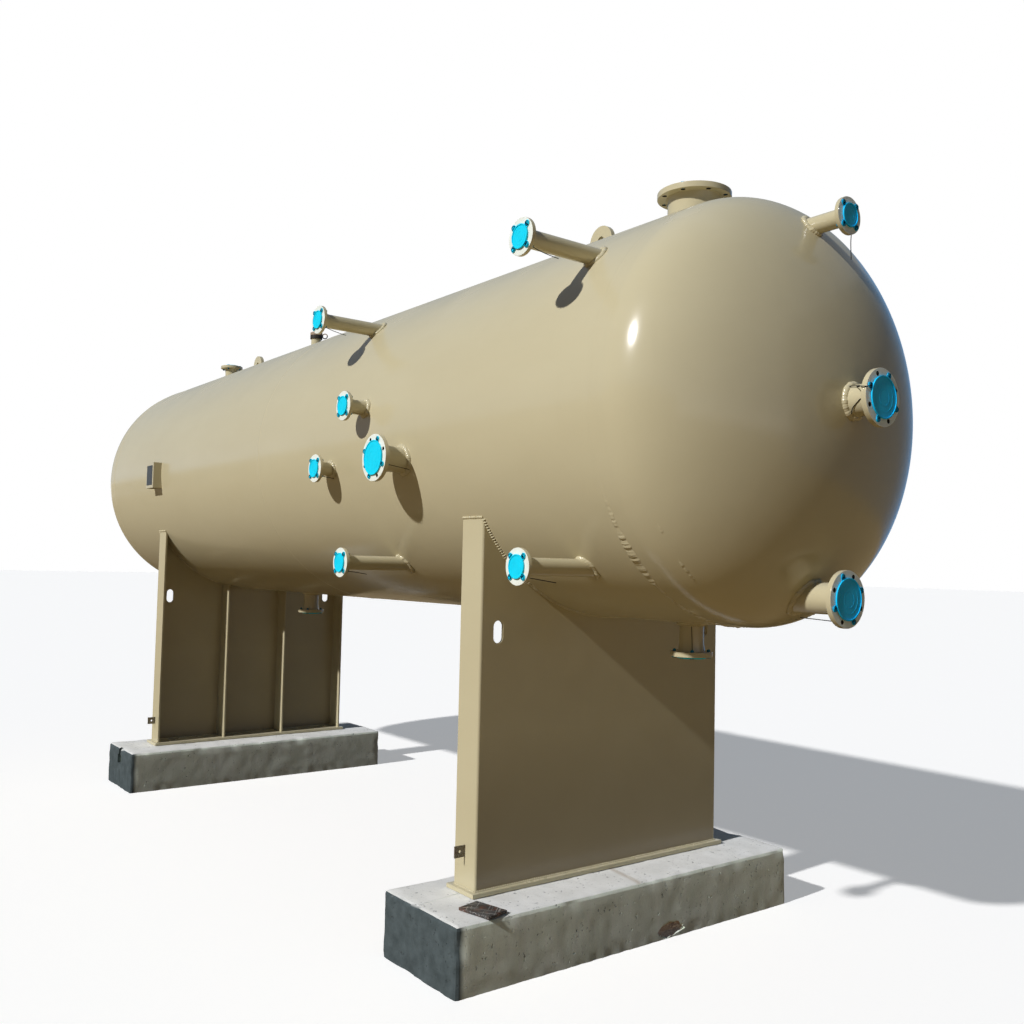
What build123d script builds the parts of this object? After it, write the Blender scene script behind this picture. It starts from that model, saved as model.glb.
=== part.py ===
from build123d import *
import os
from math import radians, sin, sqrt
from typing import NamedTuple

os.makedirs("parts", exist_ok=True)

# Horizontal surge vessel on two plate saddles, each standing on a cast concrete sleeper.
# Millimetres. X runs along the vessel to its near head, Z is up, and the side nozzles face -Y.
# The origin is on the ground, on the centreline, midway between the two sleepers.

# Vessel body
shell_od = 1829.0
shell_wall = 12.7
head_wall = 12.7
tangent_length = 6340.0
straight_flange = 76.0
axis_above_sleeper = 2140.0

# Saddles, one under each end
near_setback = 911.0
far_setback = 966.0
saddle_depth = 158.0
saddle_wrap_angle = 120.0
saddle_plate = 12.7
saddle_corner_round = 12.0
base_plate = 19.0
base_overhang = 26.0
rib_offset = 252.0
slot_height = 104.0
slot_width = 54.0
slot_inset = 101.0
slot_below_axis = 976.0

# Concrete sleepers
sleeper_length = 2134.0
sleeper_width = 590.0
sleeper_height = 297.0
sleeper_arris = 16.0
near_sleeper_offset = 48.0
far_sleeper_offset = 29.0

# Pocket in the end of the far sleeper, with a narrower neck up to the top
pocket_width = 90.0
pocket_depth = 45.0
pocket_height = 68.0
neck_width = 42.0
neck_depth = 28.0
neck_height = 54.0

# Loose packing plate left on the near sleeper
shim_length = 172.0
shim_width = 116.0
shim_thickness = 12.0
shim_turn = 13.0
shim_inset = 92.0
shim_from_end = 198.0

# Lifting lugs on the crown
lug_thickness = 25.0
lug_width = 216.0
lug_height = 170.0
lug_top_radius = 82.0
lug_eye_d = 50.0
lug_eye_height = 90.0
near_lug_setback = 1015.0
far_lug_setback = 960.0

# Earthing ears on the saddles
ear_reach = 58.0
ear_height = 52.0
ear_thickness = 6.0
ear_hole_d = 14.0
ear_above_base = 164.0

# Nameplate and its stand-off bracket
plate_bracket_width = 170.0
plate_bracket_height = 197.0
plate_bracket_gauge = 5.0
plate_standoff = 60.0
plate_setback = 1238.0
plate_below_axis = 34.0
nameplate_width = 126.0
nameplate_height = 152.0
nameplate_gauge = 2.0

# Crown vent: a capped coupling
vent_setback = 2054.0
vent_neck_d = 76.0
vent_bore_d = 54.0
vent_cap_d = 92.0
vent_cap_height = 52.0
vent_cap_wall = 4.0
vent_rise = 185.5

# Flange covers
cover_thickness = 4.0
cover_rim = 5.0
cover_rim_height = 3.0
cover_hole_gap = 1.5
cover_ring_share = 0.42


class Flange(NamedTuple):
    # One flange size: its rim, bolting, raised face, and the hub and barrel behind it.
    od: float
    thickness: float
    bolt_circle: float
    bolts: int
    hole_d: float
    face_d: float
    hub_d: float
    barrel_d: float
    bore_d: float


two_inch = Flange(152.4, 19.1, 120.7, 4, 19.1, 92.1, 88.0, 75.0, 50.8)
three_inch = Flange(190.5, 23.9, 152.4, 4, 19.1, 127.0, 120.0, 110.0, 76.2)
four_inch = Flange(228.6, 23.9, 190.5, 8, 19.1, 157.2, 140.0, 127.0, 101.6)
eight_inch = Flange(342.9, 28.6, 298.5, 8, 22.2, 269.9, 262.0, 246.0, 203.2)
raised_face = 1.6
hub_length = 40.0

# Values worked out from the sizes above
shell_r = shell_od / 2
inner_r = shell_r - shell_wall
head_depth = (shell_r - head_wall) / 2 + head_wall
saddle_half_width = shell_r * sin(radians(saddle_wrap_angle / 2))
sleeper_top = sleeper_height
axis_z = sleeper_top + axis_above_sleeper
near_saddle_back = near_setback + saddle_depth / 2
far_saddle_back = tangent_length - far_setback - saddle_depth / 2
near_sleeper_back = near_saddle_back - near_sleeper_offset
far_sleeper_back = far_saddle_back - far_sleeper_offset
near_tangent_x = (near_sleeper_back + far_sleeper_back) / 2
far_tangent_x = near_tangent_x - tangent_length
saddle_foot_z = sleeper_top + base_plate

# Nozzles: node, size, the face it leaves from, setback from the tangent line of its own end,
# height from the axis, and how far its flange face stands out from the vessel's surface.
# Upper and lower nozzles are set in from the top and bottom of the shell.
NEAR_NOZZLES = [
    ("nozzle_side_upper_near", two_inch, "side", 317.0, shell_r - 295.5, 398.0),
    ("nozzle_side_upper_far", two_inch, "side", 2158.0, shell_r - 278.5, 372.0),
    ("nozzle_side_middle_near", two_inch, "side", 1826.0, 127.0, 130.5),
    ("nozzle_side_middle_far", two_inch, "side", 2197.0, -169.0, 104.5),
    ("nozzle_side_large", four_inch, "side", 1451.0, -170.0, 161.5),
    ("nozzle_side_lower_far", two_inch, "side", 1865.0, 238.5 - shell_r, 390.0),
    ("nozzle_side_lower_near", two_inch, "side", 399.0, 237.5 - shell_r, 375.0),
    ("nozzle_head_upper", two_inch, "head", 0.0, shell_r - 164.5, 175.5),
    ("nozzle_head_centre", four_inch, "head", 0.0, 0.0, 126.5),
    ("nozzle_head_lower", four_inch, "head", 0.0, 137.5 - shell_r, 195.5),
    ("nozzle_crown_large", eight_inch, "crown", 387.0, 0.0, 160.5),
    ("nozzle_bottom_near", three_inch, "bottom", 371.0, 0.0, 152.5),
]
FAR_NOZZLES = [
    ("nozzle_crown_small", three_inch, "crown", 346.0, 0.0, 170.5),
    ("nozzle_bottom_far", three_inch, "bottom", 2116.0, 0.0, 145.5),
]


def x_cylinder(radius, x_low, x_high):
    # A round bar along the vessel's own axis.
    length = x_high - x_low
    return Pos((x_low + x_high) / 2, 0, axis_z) * Rot(0, 90, 0) * Cylinder(radius, length)


def dished_solid(radius, depth, straight):
    # Half an ellipsoid with its straight flange, apex to +X from the tangent line at X = 0.
    curve = EllipticalCenterArc((0, 0), depth, radius, arc_size=90)
    edge = Polyline((0, radius), (-straight, radius), (-straight, 0), (depth, 0))
    return revolve(make_face([curve, edge]), Axis.X)


def dished_head():
    # A 2:1 dished head: the outside less the inside, both with the straight flange.
    outside = dished_solid(shell_r, head_depth, straight_flange)
    hollow = dished_solid(shell_r - head_wall, head_depth - head_wall, 2 * straight_flange)
    return outside - hollow


def flange_frame(face, station, height, stand_out):
    # Where a nozzle's flange face lies: Z of the frame points out of the vessel.
    if face == "side":
        face_y = -sqrt(shell_r**2 - height**2) - stand_out
        return Plane(origin=(station, face_y, axis_z + height), x_dir=(1, 0, 0), z_dir=(0, -1, 0))
    if face == "head":
        face_x = near_tangent_x + head_depth * sqrt(1 - (height / shell_r) ** 2) + stand_out
        return Plane(origin=(face_x, 0, axis_z + height), x_dir=(0, 1, 0), z_dir=(1, 0, 0))
    if face == "crown":
        return Plane(origin=(station, 0, axis_z + shell_r + stand_out), x_dir=(1, 0, 0), z_dir=(0, 0, 1))
    return Plane(origin=(station, 0, axis_z - shell_r - stand_out), x_dir=(1, 0, 0), z_dir=(0, 0, -1))


def bolt_holes(size):
    # The bolt holes straddle the centrelines.
    hole = Pos(0, 0, -size.thickness / 2) * Cylinder(size.hole_d / 2, 2 * size.thickness)
    return PolarLocations(size.bolt_circle / 2, size.bolts, start_angle=180 / size.bolts) * hole


def nozzle_body(size, reach):
    # A long weld neck: raised face, flange, short tapered hub and straight barrel, in one forging.
    profile = Polyline(
        (size.bore_d / 2, 0),
        (size.face_d / 2, 0),
        (size.face_d / 2, -raised_face),
        (size.od / 2, -raised_face),
        (size.od / 2, -size.thickness),
        (size.hub_d / 2, -size.thickness),
        (size.barrel_d / 2, -size.thickness - hub_length),
        (size.barrel_d / 2, -reach),
        (size.bore_d / 2, -reach),
        close=True,
    )
    forging = revolve(make_face(Plane.XZ * profile), Axis.Z)
    return forging - bolt_holes(size)


def shell_course(x_low, x_high):
    # One rolled plate course: a tube of the shell's wall.
    return x_cylinder(shell_r, x_low, x_high) - x_cylinder(inner_r, x_low, x_high)


near_head = Pos(near_tangent_x, 0, axis_z) * dished_head()
far_head = Pos(far_tangent_x, 0, axis_z) * Rot(0, 0, 180) * dished_head()
head_hollow = dished_solid(shell_r - head_wall, head_depth - head_wall, tangent_length / 2)
near_head_inside = Pos(near_tangent_x, 0, axis_z) * head_hollow

# The shell is two rolled courses, butted at mid length and to the heads' straight flanges.
near_course_end = near_tangent_x - straight_flange
mid_seam_x = (near_tangent_x + far_tangent_x) / 2
far_course_end = far_tangent_x + straight_flange
near_course = shell_course(mid_seam_x, near_course_end)
far_course = shell_course(far_course_end, mid_seam_x)

nodes = {}
covers = {"side": [], "head": [], "crown": [], "bottom": []}


def flange_cover(size):
    # A thin plastic disc with an upturned rim and a small raised ring, inside the bolt holes.
    radius = (size.bolt_circle - size.hole_d) / 2 - cover_hole_gap
    ring = cover_ring_share * radius
    disc = Pos(0, 0, cover_thickness / 2) * Cylinder(radius, cover_thickness)
    raised = Pos(0, 0, cover_thickness + cover_rim_height / 2)
    rim = raised * (Cylinder(radius, cover_rim_height) - Cylinder(radius - cover_rim, cover_rim_height))
    inner = raised * (Cylinder(ring, cover_rim_height) - Cylinder(ring - cover_rim, cover_rim_height))
    return disc + rim + inner


# Each nozzle's barrel goes through the wall and ends flush inside it, and its cover sits on its face.
inside = x_cylinder(inner_r, far_tangent_x, near_tangent_x)
placed = [(near_tangent_x - row[3], row) for row in NEAR_NOZZLES]
placed += [(far_tangent_x + row[3], row) for row in FAR_NOZZLES]
for station, (node, size, face, setback, height, stand_out) in placed:
    frame = flange_frame(face, station, height, stand_out)
    reach = stand_out + shell_r
    barrel = frame * Pos(0, 0, -reach / 2) * Cylinder(size.barrel_d / 2, reach)
    body = frame * nozzle_body(size, reach)
    if face == "head":
        near_head -= barrel
        nodes[node] = body - near_head_inside
    else:
        nodes[node] = body - inside
        if station > mid_seam_x:
            near_course -= barrel
        else:
            far_course -= barrel
    covers[face].append(frame * flange_cover(size))

# The vent is a plain coupling through the crown with a push-on plastic cap.
vent_x = far_tangent_x + vent_setback
vent_top_z = axis_z + shell_r + vent_rise
vent_neck_top = vent_top_z - vent_cap_wall
vent_mid = Pos(vent_x, 0, (axis_z + vent_neck_top) / 2)
vent_neck = vent_mid * Cylinder(vent_neck_d / 2, vent_neck_top - axis_z)
vent_bore = vent_mid * Cylinder(vent_bore_d / 2, vent_neck_top - axis_z)
vent_cap = Pos(vent_x, 0, vent_top_z - vent_cap_height / 2) * Cylinder(vent_cap_d / 2, vent_cap_height)
far_course -= vent_neck
nodes["vent_coupling"] = vent_neck - vent_bore - inside
nodes["vent_cap"] = vent_cap - vent_neck

nodes["shell_near_course"] = near_course
nodes["shell_far_course"] = far_course
nodes["head_near"] = near_head
nodes["head_far"] = far_head
for face, pieces in covers.items():
    nodes[face + "_flange_covers"] = pieces


def lifting_lug(x):
    # A round-topped plate on the crown, standing along the vessel, with one shackle eye.
    crown = axis_z + shell_r
    arc_z = lug_height - lug_top_radius
    crest = Pos(0, arc_z) * Circle(lug_top_radius)
    root = Pos(0, -lug_thickness / 2) * Rectangle(lug_width, lug_thickness)
    outline = make_hull(crest.edges() + root.edges()) - Pos(0, lug_eye_height) * Circle(lug_eye_d / 2)
    lug_face = Plane(origin=(x, lug_thickness / 2, crown), x_dir=(1, 0, 0), z_dir=(0, -1, 0))
    plate = extrude(lug_face * outline, lug_thickness)
    return plate - x_cylinder(shell_r, x - lug_width, x + lug_width)


nodes["lifting_lug_near"] = lifting_lug(near_tangent_x - near_lug_setback)
nodes["lifting_lug_far"] = lifting_lug(far_tangent_x + far_lug_setback)


def saddle(end, centre_x, outward):
    # One plate saddle. outward is +1 or -1, the way its plain web faces along X.
    web_face = centre_x + outward * saddle_depth / 2
    web_x = web_face - outward * saddle_plate / 2
    inner_face = centre_x - outward * saddle_depth / 2
    vessel = x_cylinder(shell_r, centre_x - saddle_depth, centre_x + saddle_depth)
    shoulder_z = axis_z - sqrt(shell_r**2 - saddle_half_width**2)
    height = shoulder_z - saddle_foot_z
    web_width = 2 * (saddle_half_width - saddle_plate)
    web = Pos(web_x, 0, saddle_foot_z + height / 2) * Box(saddle_plate, web_width, height)
    slot = SlotOverall(slot_height, slot_width)
    for side in (-1, 1):
        middle = (web_x, side * (saddle_half_width - slot_inset), axis_z - slot_below_axis)
        place = Plane(origin=middle, x_dir=(0, 0, 1), z_dir=(1, 0, 0))
        web -= extrude(place * slot, saddle_plate, both=True)
    nodes["saddle_web_" + end] = web - vessel
    # The end plates run the saddle's full depth, and their corners with the web are rounded.
    nodes["saddle_end_plates_" + end] = []
    for side in (-1, 1):
        end_y = side * (saddle_half_width - saddle_plate / 2)
        upright = Pos(centre_x, end_y, saddle_foot_z + height / 2) * Box(saddle_depth, saddle_plate, height)
        corners = upright.edges().filter_by(Axis.Z)
        corner = corners.sort_by(lambda edge: outward * edge.center().X + side * edge.center().Y)[-1]
        nodes["saddle_end_plates_" + end].append(fillet(corner, saddle_corner_round) - vessel)
    # The ribs stand behind the web, between its back and the saddle's inner face.
    rib_depth = saddle_depth - saddle_plate
    rib_x = (inner_face + web_face - outward * saddle_plate) / 2
    rib = Pos(rib_x, 0, saddle_foot_z + height / 2) * Box(rib_depth, saddle_plate, height)
    nodes["saddle_ribs_" + end] = [Pos(0, side * rib_offset, 0) * rib - vessel for side in (-1, 1)]
    foot = Box(saddle_depth + 2 * base_overhang, 2 * (saddle_half_width + base_overhang), base_plate)
    nodes["saddle_base_" + end] = Pos(centre_x, 0, sleeper_top + base_plate / 2) * foot
    ear_y = -saddle_half_width - ear_reach / 2
    ear_z = saddle_foot_z + ear_above_base
    ear = Pos(centre_x, ear_y, ear_z) * Box(ear_thickness, ear_reach, ear_height)
    ear -= Pos(centre_x, ear_y, ear_z) * Rot(0, 90, 0) * Cylinder(ear_hole_d / 2, 2 * ear_thickness)
    nodes["earthing_ear_" + end] = ear


saddle("near", near_tangent_x - near_saddle_back, 1)
saddle("far", near_tangent_x - far_saddle_back, -1)


near_sleeper_x = near_tangent_x - near_sleeper_back
far_sleeper_x = near_tangent_x - far_sleeper_back


def sleeper(centre_x):
    # A cast block, its top edges and corners struck off with a small arris.
    block = Pos(centre_x, 0, sleeper_height / 2) * Box(sleeper_width, sleeper_length, sleeper_height)
    upper = block.edges().filter_by(Axis.Z) + block.edges().group_by(Axis.Z)[-1]
    return chamfer(upper, sleeper_arris)


def end_pocket(width, depth, height, top):
    # A recess cut back into the -Y end of the far sleeper, from the given height down.
    cut = Box(width, 2 * depth, height)
    return Pos(far_sleeper_x, -sleeper_length / 2, top - height / 2) * cut


near_block = sleeper(near_sleeper_x)
far_block = sleeper(far_sleeper_x)
far_block -= end_pocket(neck_width, neck_depth, neck_height, sleeper_top)
far_block -= end_pocket(pocket_width, pocket_depth, pocket_height, sleeper_top - neck_height)
nodes["sleeper_near"] = near_block
nodes["sleeper_far"] = far_block

shim_x = near_sleeper_x + sleeper_width / 2 - shim_inset
shim_y = -sleeper_length / 2 + shim_from_end
shim_place = Pos(shim_x, shim_y, sleeper_top + shim_thickness / 2) * Rot(0, 0, shim_turn)
nodes["loose_packing_plate"] = shim_place * Box(shim_length, shim_width, shim_thickness)

# The nameplate stands off the shell on a folded bracket with two legs.
plate_x = far_tangent_x + plate_setback
plate_z = axis_z - plate_below_axis
bracket_front_y = -(shell_r + plate_standoff)
bracket_foot = plate_below_axis + plate_bracket_height / 2
bracket_reach = shell_r + plate_standoff - sqrt(shell_r**2 - bracket_foot**2)
bracket_outside = Box(plate_bracket_width, bracket_reach, plate_bracket_height)
bracket_inside = Box(plate_bracket_width - 2 * plate_bracket_gauge, bracket_reach, plate_bracket_height)
bracket_mid_y = bracket_front_y + bracket_reach / 2
bracket = Pos(plate_x, bracket_mid_y, plate_z) * bracket_outside
bracket -= Pos(plate_x, bracket_mid_y + plate_bracket_gauge, plate_z) * bracket_inside
bracket -= x_cylinder(shell_r, plate_x - plate_bracket_width, plate_x + plate_bracket_width)
nodes["nameplate_bracket"] = bracket
plate = Box(nameplate_width, nameplate_gauge, nameplate_height)
nodes["nameplate"] = Pos(plate_x, bracket_front_y - nameplate_gauge / 2, plate_z) * plate

for name, shape in nodes.items():
    solids = []
    for piece in shape if isinstance(shape, list) else [shape]:
        solids += piece.solids()
    export_step(solids[0] if len(solids) == 1 else Compound(children=solids), "parts/" + name + ".step")
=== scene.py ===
from collections import namedtuple
from functools import partial
from math import atan2, cos, pi, radians, sin, sqrt
from random import Random

import bmesh
import bpy
from mathutils import Matrix, Vector, noise


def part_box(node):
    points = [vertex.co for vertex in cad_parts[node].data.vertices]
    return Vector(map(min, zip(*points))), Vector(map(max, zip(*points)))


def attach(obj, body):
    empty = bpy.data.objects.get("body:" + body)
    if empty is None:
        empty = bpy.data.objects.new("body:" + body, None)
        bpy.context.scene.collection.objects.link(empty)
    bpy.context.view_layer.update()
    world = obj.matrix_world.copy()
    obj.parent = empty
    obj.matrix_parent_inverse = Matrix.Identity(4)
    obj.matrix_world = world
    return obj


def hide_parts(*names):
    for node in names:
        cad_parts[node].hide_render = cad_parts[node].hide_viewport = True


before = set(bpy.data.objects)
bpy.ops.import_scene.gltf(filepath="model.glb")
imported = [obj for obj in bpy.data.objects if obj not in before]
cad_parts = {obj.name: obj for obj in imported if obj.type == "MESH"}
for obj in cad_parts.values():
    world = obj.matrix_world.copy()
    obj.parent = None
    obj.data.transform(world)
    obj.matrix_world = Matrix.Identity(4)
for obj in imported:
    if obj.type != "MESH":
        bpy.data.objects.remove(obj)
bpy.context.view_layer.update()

# The camera: it stands where a person would, off the near head and the nozzle side, at eye height.
# Its turns are in radians.
scene = bpy.context.scene
camera_place = Vector((5.841, -3.415, 1.761))
camera_yaw, camera_pitch, camera_roll = 0.9184931, 0.0543339, 0.0220561
lens_mm, sensor_mm = 35.016, 36.0
ahead = Vector((-sin(camera_yaw) * cos(camera_pitch), cos(camera_yaw) * cos(camera_pitch),
                sin(camera_pitch)))
level_right = Vector((cos(camera_yaw), sin(camera_yaw), 0))
level_up = level_right.cross(ahead)
camera_right = level_right * cos(camera_roll) + level_up * sin(camera_roll)
camera_up = level_up * cos(camera_roll) - level_right * sin(camera_roll)
camera_data = bpy.data.cameras.new("camera")
camera_data.lens = lens_mm
camera_data.sensor_width = sensor_mm
camera_data.clip_end = 400
camera = bpy.data.objects.new("camera", camera_data)
scene.collection.objects.link(camera)
turned = Matrix((camera_right, camera_up, -ahead)).transposed().to_4x4()
camera.matrix_world = Matrix.Translation(camera_place) @ turned
scene.camera = camera
scene.view_settings.view_transform = "Standard"


# The light: one soft key on the nozzle side, and an even sky that lights the far side a cool blue
# and that the eye sees as white.
key_azimuth, key_height = radians(-86.7), radians(34.5)
key_strength, key_spread = 3.6, radians(1.6)
sky_colour, sky_strength = (0.42, 0.66, 1.0, 1), 0.090
to_key = Vector((cos(key_azimuth) * cos(key_height), sin(key_azimuth) * cos(key_height), sin(key_height)))
key_data = bpy.data.lights.new("key", "SUN")
key_data.energy = key_strength
key_data.angle = key_spread
key_data.color = (0.985, 0.98, 1.0)
key = bpy.data.objects.new("key", key_data)
key.rotation_euler = to_key.to_track_quat("Z", "Y").to_euler()
scene.collection.objects.link(key)


def feed(tree, node, inputs):
    # Gives a shader node its inputs, each either a plain value or a socket to link from.
    for name, value in inputs.items():
        if isinstance(value, bpy.types.NodeSocket):
            tree.links.new(value, node.inputs[name])
        else:
            node.inputs[name].default_value = value


def add_node(tree, kind, inputs=None, **settings):
    made = tree.nodes.new("ShaderNode" + kind)
    for name, value in settings.items():
        setattr(made, name, value)
    feed(tree, made, inputs or {})
    return made


def maths(tree, operation, *values):
    # One sum on numbers or sockets.
    return add_node(tree, "Math", dict(enumerate(values)), operation=operation).outputs[0]


def seen_share(tree):
    # 1 where the camera sees a surface straight, in a reflection or through glass, else 0.
    path = add_node(tree, "LightPath").outputs
    seen = maths(tree, "MAXIMUM", path["Is Camera Ray"], path["Is Glossy Ray"])
    return maths(tree, "MAXIMUM", seen, path["Is Transmission Ray"])


world = bpy.data.worlds.new("sky")
scene.world = world
world.use_nodes = True
sky = world.node_tree
sky.nodes.clear()
sky_light = add_node(sky, "Background", {"Color": sky_colour, "Strength": sky_strength})
sky_white = add_node(sky, "Background", {"Color": (1, 1, 1, 1), "Strength": 1.0})
sky_mix = add_node(sky, "MixShader", {0: seen_share(sky), 1: sky_light.outputs[0], 2: sky_white.outputs[0]})
add_node(sky, "OutputWorld", {"Surface": sky_mix.outputs[0]})


# The floor: pale to the eye, and it keeps the vessel's shadow. What it throws back up is a warm tone,
# dark close to the sleepers and lighter further off.
def blend(tree, share, first, second):
    # A mix node set to colours takes its share and its two colours at inputs 0, 6 and 7.
    return add_node(tree, "Mix", {0: share, 6: first, 7: second}, data_type="RGBA").outputs[2]


def ramp(tree, value, low, high, at_low=0.0, at_high=1.0):
    # 0 below low and 1 above high, or the two values given, with an even slope between.
    return add_node(tree, "MapRange", {"Value": value, "From Min": low, "From Max": high,
                                       "To Min": at_low, "To Max": at_high}).outputs[0]


def floor_tone(tree, near, far):
    # The near colour fills an oval nearly three times as long as wide, its middle towards the far head.
    middle_x, oval, near_until, far_from = -1.4, (0.37, 1.0, 0.0), 1.2, 2.3
    place = add_node(tree, "TexCoord").outputs["Object"]
    centred = add_node(tree, "VectorMath", {0: place, 1: (-middle_x, 0.0, 0.0)}, operation="ADD")
    narrowed = add_node(tree, "VectorMath", {0: centred.outputs[0], 1: oval}, operation="MULTIPLY")
    away = add_node(tree, "VectorMath", {0: narrowed.outputs[0]}, operation="LENGTH").outputs["Value"]
    return blend(tree, ramp(tree, away, near_until, far_from), near, far)


floor_size = 240
bpy.ops.object.select_all(action="DESELECT")
bpy.ops.mesh.primitive_plane_add(size=floor_size, location=(0, 0, 0))
floor = bpy.context.object
floor.name = "floor"
floor_paint = bpy.data.materials.new("pale_floor")
floor_paint.use_nodes = True
ground = floor_paint.node_tree
ground.nodes.clear()
ground_pale = add_node(ground, "BsdfDiffuse", {"Color": (0.90, 0.89, 0.855, 1)})
ground_lift = add_node(ground, "Emission", {"Color": (1, 1, 1, 1), "Strength": 0.32})
ground_seen = add_node(ground, "AddShader", {0: ground_pale.outputs[0], 1: ground_lift.outputs[0]})
ground_colour = floor_tone(ground, (0.105, 0.066, 0.026, 1), (0.37, 0.26, 0.12, 1))
ground_warm = add_node(ground, "BsdfDiffuse", {"Color": ground_colour})
ground_mix = add_node(ground, "MixShader", {0: seen_share(ground), 1: ground_warm.outputs[0],
                                            2: ground_seen.outputs[0]})
add_node(ground, "OutputMaterial", {"Surface": ground_mix.outputs[0]})
floor.data.materials.append(floor_paint)


# Four cards that only show as reflections in the gloss paint: a warm sheet on the floor, a low warm
# bank far off the nozzle side, a blue sheet overhead, and a slate one off the near head's far side.
def reflection_card(name, place, turn, size, kind, inputs):
    bpy.ops.object.select_all(action="DESELECT")
    bpy.ops.mesh.primitive_plane_add(size=1, location=place, rotation=turn)
    card = bpy.context.object
    card.name = name
    card.scale = (*size, 1)
    bpy.ops.object.transform_apply(location=False, rotation=False, scale=True)
    for ray_kind in ("camera", "diffuse", "transmission", "volume_scatter", "shadow"):
        setattr(card, "visible_" + ray_kind, False)
    card_paint = bpy.data.materials.new(name + "_paint")
    card_paint.use_nodes = True
    tree = card_paint.node_tree
    tree.nodes.clear()
    surface = add_node(tree, kind, inputs)
    add_node(tree, "OutputMaterial", {"Surface": surface.outputs[0]})
    card.data.materials.append(card_paint)
    return tree, surface.inputs["Color"]


def part_of(tree, vector, axis):
    return add_node(tree, "SeparateXYZ", {"Vector": vector}).outputs[axis]


upright = pi / 2
tree, colour = reflection_card("sand_card", (0, 0, 0.004), (0, 0, 0), (230, 230), "BsdfDiffuse", {})
tree.links.new(floor_tone(tree, (0.24, 0.17, 0.08, 1), (0.44, 0.34, 0.20, 1)), colour)
reflection_card("bank_card", (-60, -40, 5), (upright, 0, 0), (260, 10), "Emission",
                {"Color": (0.26, 0.215, 0.14, 1)})
tree, colour = reflection_card("blue_card", (0, 0, 15), (0, 0, 0), (420, 420), "Emission", {})
card_place = add_node(tree, "TexCoord").outputs["Object"]
overhead = add_node(tree, "VectorMath", {0: card_place}, operation="LENGTH").outputs["Value"]
hazy = ramp(tree, overhead, 25, 120)
tree.links.new(blend(tree, hazy, (0.24, 0.30, 0.38, 1), (0.50, 0.58, 0.70, 1)), colour)
tree, colour = reflection_card("slate_card", (5.0, 12.5, 5.2), (upright, 0, radians(-20)), (28, 10),
                               "Emission", {})
along = part_of(tree, add_node(tree, "TexCoord").outputs["Object"], "X")
deep = ramp(tree, along, -10.0, -1.0)
tree.links.new(blend(tree, deep, (0.22, 0.48, 0.85, 1), (0.10, 0.15, 0.21, 1)), colour)


# The shell: two courses of rolled plate butted at mid length, 12.7 mm thick, painted tan all over.
# Everything on it is placed from the CAD courses, so the skin lies where the plate does.
course_low, course_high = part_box("shell_near_course")
shell_r = (course_high.y - course_low.y) / 2
axis_z = (course_high.z + course_low.z) / 2
plate = 0.0127
near_seam_x = course_high.x
far_seam_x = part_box("shell_far_course")[0].x
mid_seam_x = course_low.x
head_depth = (shell_r - plate) / 2 + plate
near_tangent_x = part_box("head_near")[1].x - head_depth
far_tangent_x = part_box("head_far")[0].x + head_depth
round_steps, course_joints = 168, 8


def take(*pieces):
    # Leaves edit mode and selects these pieces alone, with the first one active.
    if bpy.context.mode != "OBJECT":
        bpy.ops.object.mode_set(mode="OBJECT")
    bpy.ops.object.select_all(action="DESELECT")
    for piece in pieces:
        piece.select_set(True)
    if pieces:
        bpy.context.view_layer.objects.active = pieces[0]


def work_on(piece, select_mode="FACE"):
    # Opens a piece in edit mode with nothing in it selected.
    take(piece)
    bpy.ops.object.mode_set(mode="EDIT")
    bpy.ops.mesh.select_mode(type=select_mode)
    bpy.ops.mesh.select_all(action="DESELECT")


def pick(test, kind="faces"):
    # Selects the faces, edges or points of the open piece that pass the test, and drops the rest.
    mesh = bmesh.from_edit_mesh(bpy.context.object.data)
    bpy.ops.mesh.select_all(action="DESELECT")
    for part in getattr(mesh, kind):
        if test(part):
            part.select_set(True)
    bmesh.update_edit_mesh(bpy.context.object.data)


def middle(edge):
    return (edge.verts[0].co + edge.verts[1].co) / 2


def pick_end(way):
    # Selects the open piece's flat faces that look up or, with -1, down.
    pick(lambda face: face.normal.z * way > 0.9)


def stop_work():
    bpy.ops.object.mode_set(mode="OBJECT")


def start_piece(name, shape, location=(0, 0, 0), **settings):
    # Adds one primitive, alone in the selection, and settles its place into its mesh.
    take()
    getattr(bpy.ops.mesh, "primitive_" + shape + "_add")(location=location, **settings)
    piece = bpy.context.object
    piece.name = name
    bpy.ops.object.transform_apply(location=True, rotation=True, scale=True)
    return piece


def moved(piece, *steps):
    # Moves, turns or stretches a piece's own mesh, one matrix after another.
    for step in steps:
        piece.data.transform(step)
    return piece


def cut_across(axis, at, way=1, **settings):
    # Cuts the whole open piece through, at right angles to one axis.
    along = Vector(float(a == axis) for a in range(3))
    bpy.ops.mesh.select_all(action="SELECT")
    bpy.ops.mesh.bisect(plane_co=along * at, plane_no=along * way, **settings)


def draw_out(*way):
    # Draws the faces or edges in hand out into new ones.
    bpy.ops.mesh.extrude_region_move(TRANSFORM_OT_translate={"value": way})


def apply_modifier(piece, kind, **settings):
    take(piece)
    modifier = piece.modifiers.new(kind.lower(), kind)
    for name, value in settings.items():
        setattr(modifier, name, value)
    bpy.ops.object.modifier_apply(modifier=modifier.name)


def finish_piece(piece, finish, nodes=(), smooth_angle=35):
    # The last steps of every piece: smooth shading, its finish, and what it stands for in the frame.
    take(piece)
    bpy.ops.object.transform_apply(location=True, rotation=True, scale=True)
    bpy.ops.object.shade_smooth_by_angle(angle=radians(smooth_angle))
    apply_modifier(piece, "WEIGHTED_NORMAL", keep_sharp=True, weight=80)
    piece.data.materials.clear()
    piece.data.materials.append(finish)
    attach(piece, "root")
    if nodes:
        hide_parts(*nodes)


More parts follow.
